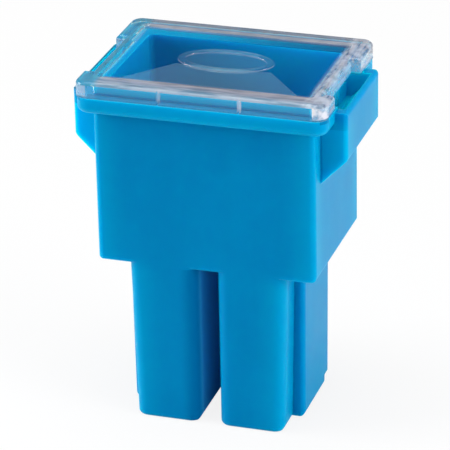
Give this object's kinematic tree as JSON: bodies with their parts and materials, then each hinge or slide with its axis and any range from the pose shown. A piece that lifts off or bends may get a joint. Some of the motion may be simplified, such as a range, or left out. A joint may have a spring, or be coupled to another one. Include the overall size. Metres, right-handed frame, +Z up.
{
  "type": "automotive cartridge fuse",
  "caption": "Female cartridge fuse for a vehicle fuse box: blue moulded body with legs that take blade terminals, an ear at each end and a clear cover.",
  "frame": {"origin": "centre of the part in plan, at the level of the ends of its two legs", "axes": "+Z up from the legs to the cover; +X along the width, from one leg to the other; -Y is the front"},
  "size_m": [0.0212, 0.014, 0.0277],
  "materials": {
    "blue_plastic": "satin moulded",
    "clear_plastic": "clear, polished",
    "tinned_alloy": "tin-plated",
    "tin": "cast tin",
    "spring_steel": "rolled spring strip"
  },
  "bodies": {
    "root": {"housing": "blue_plastic", "clear_cover": "clear_plastic", "fuse_element": "tinned_alloy", "tin_pellet": "tin", "spring_clip_left": "spring_steel", "spring_clip_right": "spring_steel"}
  },
  "joints": []
}
